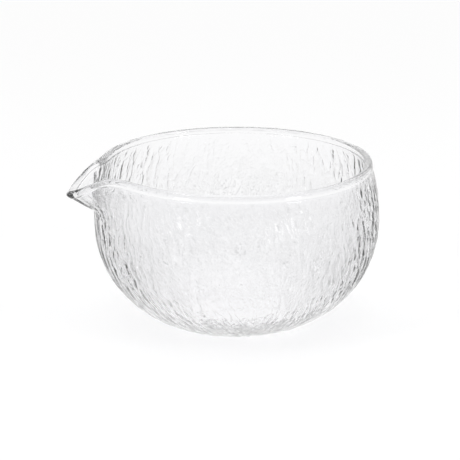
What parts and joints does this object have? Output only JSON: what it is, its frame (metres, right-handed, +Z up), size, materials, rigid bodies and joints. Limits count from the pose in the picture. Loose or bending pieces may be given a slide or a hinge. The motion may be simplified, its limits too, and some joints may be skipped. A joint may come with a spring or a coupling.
{
  "type": "glass matcha bowl",
  "caption": "Round clear glass tea bowl with a bark-textured wall, a smooth beaded rim, a flat foot and a short pulled pouring spout.",
  "frame": {"origin": "centre of the flat foot, on the surface that the bowl stands on", "axes": "+Z up along the bowl's axis, -X towards the tip of the spout, the XZ plane is the plane of symmetry"},
  "size_m": [0.1378, 0.125, 0.0729],
  "materials": {
    "clear_glass": "clear, polished, bark relief outside"
  },
  "bodies": {
    "root": {"glass_bowl": "clear_glass"}
  },
  "joints": []
}
